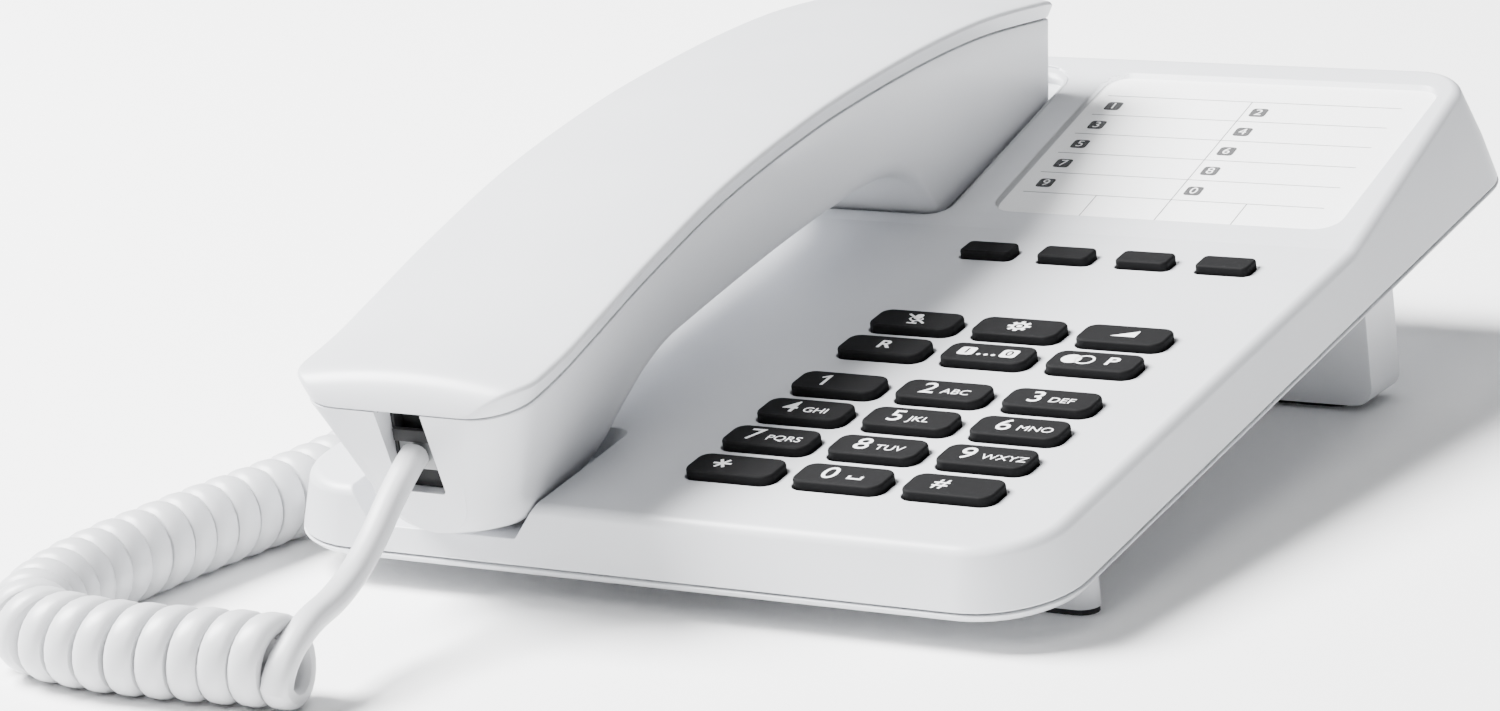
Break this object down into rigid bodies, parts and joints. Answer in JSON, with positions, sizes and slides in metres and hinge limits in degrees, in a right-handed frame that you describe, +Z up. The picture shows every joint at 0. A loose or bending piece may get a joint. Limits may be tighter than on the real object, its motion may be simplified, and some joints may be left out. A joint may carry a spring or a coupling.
{
  "type": "corded landline phone",
  "caption": "Desk telephone with sloping base, keypad, name card, cradle-mounted handset and curly handset cord, held at an angle by a rear stand.",
  "frame": {"origin": "on the desk under the middle of the base and handset", "axes": "+Z up, +Y towards the raised rear, +X to the right of someone dialling"},
  "size_m": [0.1762, 0.2888, 0.0738],
  "materials": {
    "white_shell": "satin",
    "key_charcoal": "matt",
    "black_rubber": "matt",
    "zinc_steel": "zinc plated",
    "board": "lacquered",
    "dark_plastic": "moulded",
    "card": "printed",
    "clear_sheet": "clear",
    "cord_sheath": "satin",
    "foam": "open cell"
  },
  "bodies": {
    "base": {"upper_housing": "white_shell", "lower_housing": "white_shell", "rear_stand": "white_shell", "foot_pad_left": "black_rubber", "foot_pad_right": "black_rubber", "stand_pad_left": "black_rubber", "stand_pad_right": "black_rubber", "circuit_board": "board", "key_mat": "key_charcoal", "index_card": "card", "card_window": "clear_sheet", "ringer": "zinc_steel", "line_jack": "dark_plastic", "handset_jack": "dark_plastic", "hook_switch": "dark_plastic", "hook_spring": "zinc_steel", "base_screw_1": "zinc_steel", "base_screw_2": "zinc_steel", "base_screw_3": "zinc_steel", "base_screw_4": "zinc_steel", "cord_coil": "cord_sheath", "cord_tail": "cord_sheath", "cord_plug_base": "clear_sheet"},
    "handset": {"handset_body": "white_shell", "handset_cap": "white_shell", "handset_socket": "dark_plastic", "microphone": "dark_plastic", "handset_weight": "zinc_steel", "receiver_capsule": "dark_plastic", "receiver_gasket": "foam", "cord_plug_handset": "clear_sheet", "cord_lead": "cord_sheath"},
    "hook": {"hook_plunger": "white_shell"},
    "key_mute": {"key_mute": "key_charcoal"},
    "key_settings": {"key_settings": "key_charcoal"},
    "key_volume": {"key_volume": "key_charcoal"},
    "key_recall": {"key_recall": "key_charcoal"},
    "key_memory": {"key_memory": "key_charcoal"},
    "key_redial": {"key_redial": "key_charcoal"},
    "key_1": {"key_1": "key_charcoal"},
    "key_2": {"key_2": "key_charcoal"},
    "key_3": {"key_3": "key_charcoal"},
    "key_4": {"key_4": "key_charcoal"},
    "key_5": {"key_5": "key_charcoal"},
    "key_6": {"key_6": "key_charcoal"},
    "key_7": {"key_7": "key_charcoal"},
    "key_8": {"key_8": "key_charcoal"},
    "key_9": {"key_9": "key_charcoal"},
    "key_star": {"key_star": "key_charcoal"},
    "key_0": {"key_0": "key_charcoal"},
    "key_hash": {"key_hash": "key_charcoal"},
    "key_direct_1": {"key_direct_1": "key_charcoal"},
    "key_direct_2": {"key_direct_2": "key_charcoal"},
    "key_direct_3": {"key_direct_3": "key_charcoal"},
    "key_direct_4": {"key_direct_4": "key_charcoal"}
  },
  "joints": [
    {"name": "handset_lift", "type": "slide", "parent": "base", "child": "handset", "axis": [0, -0.1305, 0.9914], "range_m": [0, 0.06]},
    {"name": "hook_rise", "type": "slide", "parent": "base", "child": "hook", "axis": [0, -0.1305, 0.9914], "range_m": [0, 0.0026]},
    {"name": "key_mute_press", "type": "slide", "parent": "base", "child": "key_mute", "axis": [0, 0.1305, -0.9914], "range_m": [0, 0.0012], "stiffness_N_per_m": 400},
    {"name": "key_settings_press", "type": "slide", "parent": "base", "child": "key_settings", "axis": [0, 0.1305, -0.9914], "range_m": [0, 0.0012], "stiffness_N_per_m": 400},
    {"name": "key_volume_press", "type": "slide", "parent": "base", "child": "key_volume", "axis": [0, 0.1305, -0.9914], "range_m": [0, 0.0012], "stiffness_N_per_m": 400},
    {"name": "key_recall_press", "type": "slide", "parent": "base", "child": "key_recall", "axis": [0, 0.1305, -0.9914], "range_m": [0, 0.0012], "stiffness_N_per_m": 400},
    {"name": "key_memory_press", "type": "slide", "parent": "base", "child": "key_memory", "axis": [0, 0.1305, -0.9914], "range_m": [0, 0.0012], "stiffness_N_per_m": 400},
    {"name": "key_redial_press", "type": "slide", "parent": "base", "child": "key_redial", "axis": [0, 0.1305, -0.9914], "range_m": [0, 0.0012], "stiffness_N_per_m": 400},
    {"name": "key_1_press", "type": "slide", "parent": "base", "child": "key_1", "axis": [0, 0.1305, -0.9914], "range_m": [0, 0.0012], "stiffness_N_per_m": 400},
    {"name": "key_2_press", "type": "slide", "parent": "base", "child": "key_2", "axis": [0, 0.1305, -0.9914], "range_m": [0, 0.0012], "stiffness_N_per_m": 400},
    {"name": "key_3_press", "type": "slide", "parent": "base", "child": "key_3", "axis": [0, 0.1305, -0.9914], "range_m": [0, 0.0012], "stiffness_N_per_m": 400},
    {"name": "key_4_press", "type": "slide", "parent": "base", "child": "key_4", "axis": [0, 0.1305, -0.9914], "range_m": [0, 0.0012], "stiffness_N_per_m": 400},
    {"name": "key_5_press", "type": "slide", "parent": "base", "child": "key_5", "axis": [0, 0.1305, -0.9914], "range_m": [0, 0.0012], "stiffness_N_per_m": 400},
    {"name": "key_6_press", "type": "slide", "parent": "base", "child": "key_6", "axis": [0, 0.1305, -0.9914], "range_m": [0, 0.0012], "stiffness_N_per_m": 400},
    {"name": "key_7_press", "type": "slide", "parent": "base", "child": "key_7", "axis": [0, 0.1305, -0.9914], "range_m": [0, 0.0012], "stiffness_N_per_m": 400},
    {"name": "key_8_press", "type": "slide", "parent": "base", "child": "key_8", "axis": [0, 0.1305, -0.9914], "range_m": [0, 0.0012], "stiffness_N_per_m": 400},
    {"name": "key_9_press", "type": "slide", "parent": "base", "child": "key_9", "axis": [0, 0.1305, -0.9914], "range_m": [0, 0.0012], "stiffness_N_per_m": 400},
    {"name": "key_star_press", "type": "slide", "parent": "base", "child": "key_star", "axis": [0, 0.1305, -0.9914], "range_m": [0, 0.0012], "stiffness_N_per_m": 400},
    {"name": "key_0_press", "type": "slide", "parent": "base", "child": "key_0", "axis": [0, 0.1305, -0.9914], "range_m": [0, 0.0012], "stiffness_N_per_m": 400},
    {"name": "key_hash_press", "type": "slide", "parent": "base", "child": "key_hash", "axis": [0, 0.1305, -0.9914], "range_m": [0, 0.0012], "stiffness_N_per_m": 400},
    {"name": "key_direct_1_press", "type": "slide", "parent": "base", "child": "key_direct_1", "axis": [0, 0.1305, -0.9914], "range_m": [0, 0.0012], "stiffness_N_per_m": 400},
    {"name": "key_direct_2_press", "type": "slide", "parent": "base", "child": "key_direct_2", "axis": [0, 0.1305, -0.9914], "range_m": [0, 0.0012], "stiffness_N_per_m": 400},
    {"name": "key_direct_3_press", "type": "slide", "parent": "base", "child": "key_direct_3", "axis": [0, 0.1305, -0.9914], "range_m": [0, 0.0012], "stiffness_N_per_m": 400},
    {"name": "key_direct_4_press", "type": "slide", "parent": "base", "child": "key_direct_4", "axis": [0, 0.1305, -0.9914], "range_m": [0, 0.0012], "stiffness_N_per_m": 400}
  ],
  "couplings": [
    {"joint": "hook_rise", "follows": "handset_lift", "ratio": 0.043333}
  ]
}
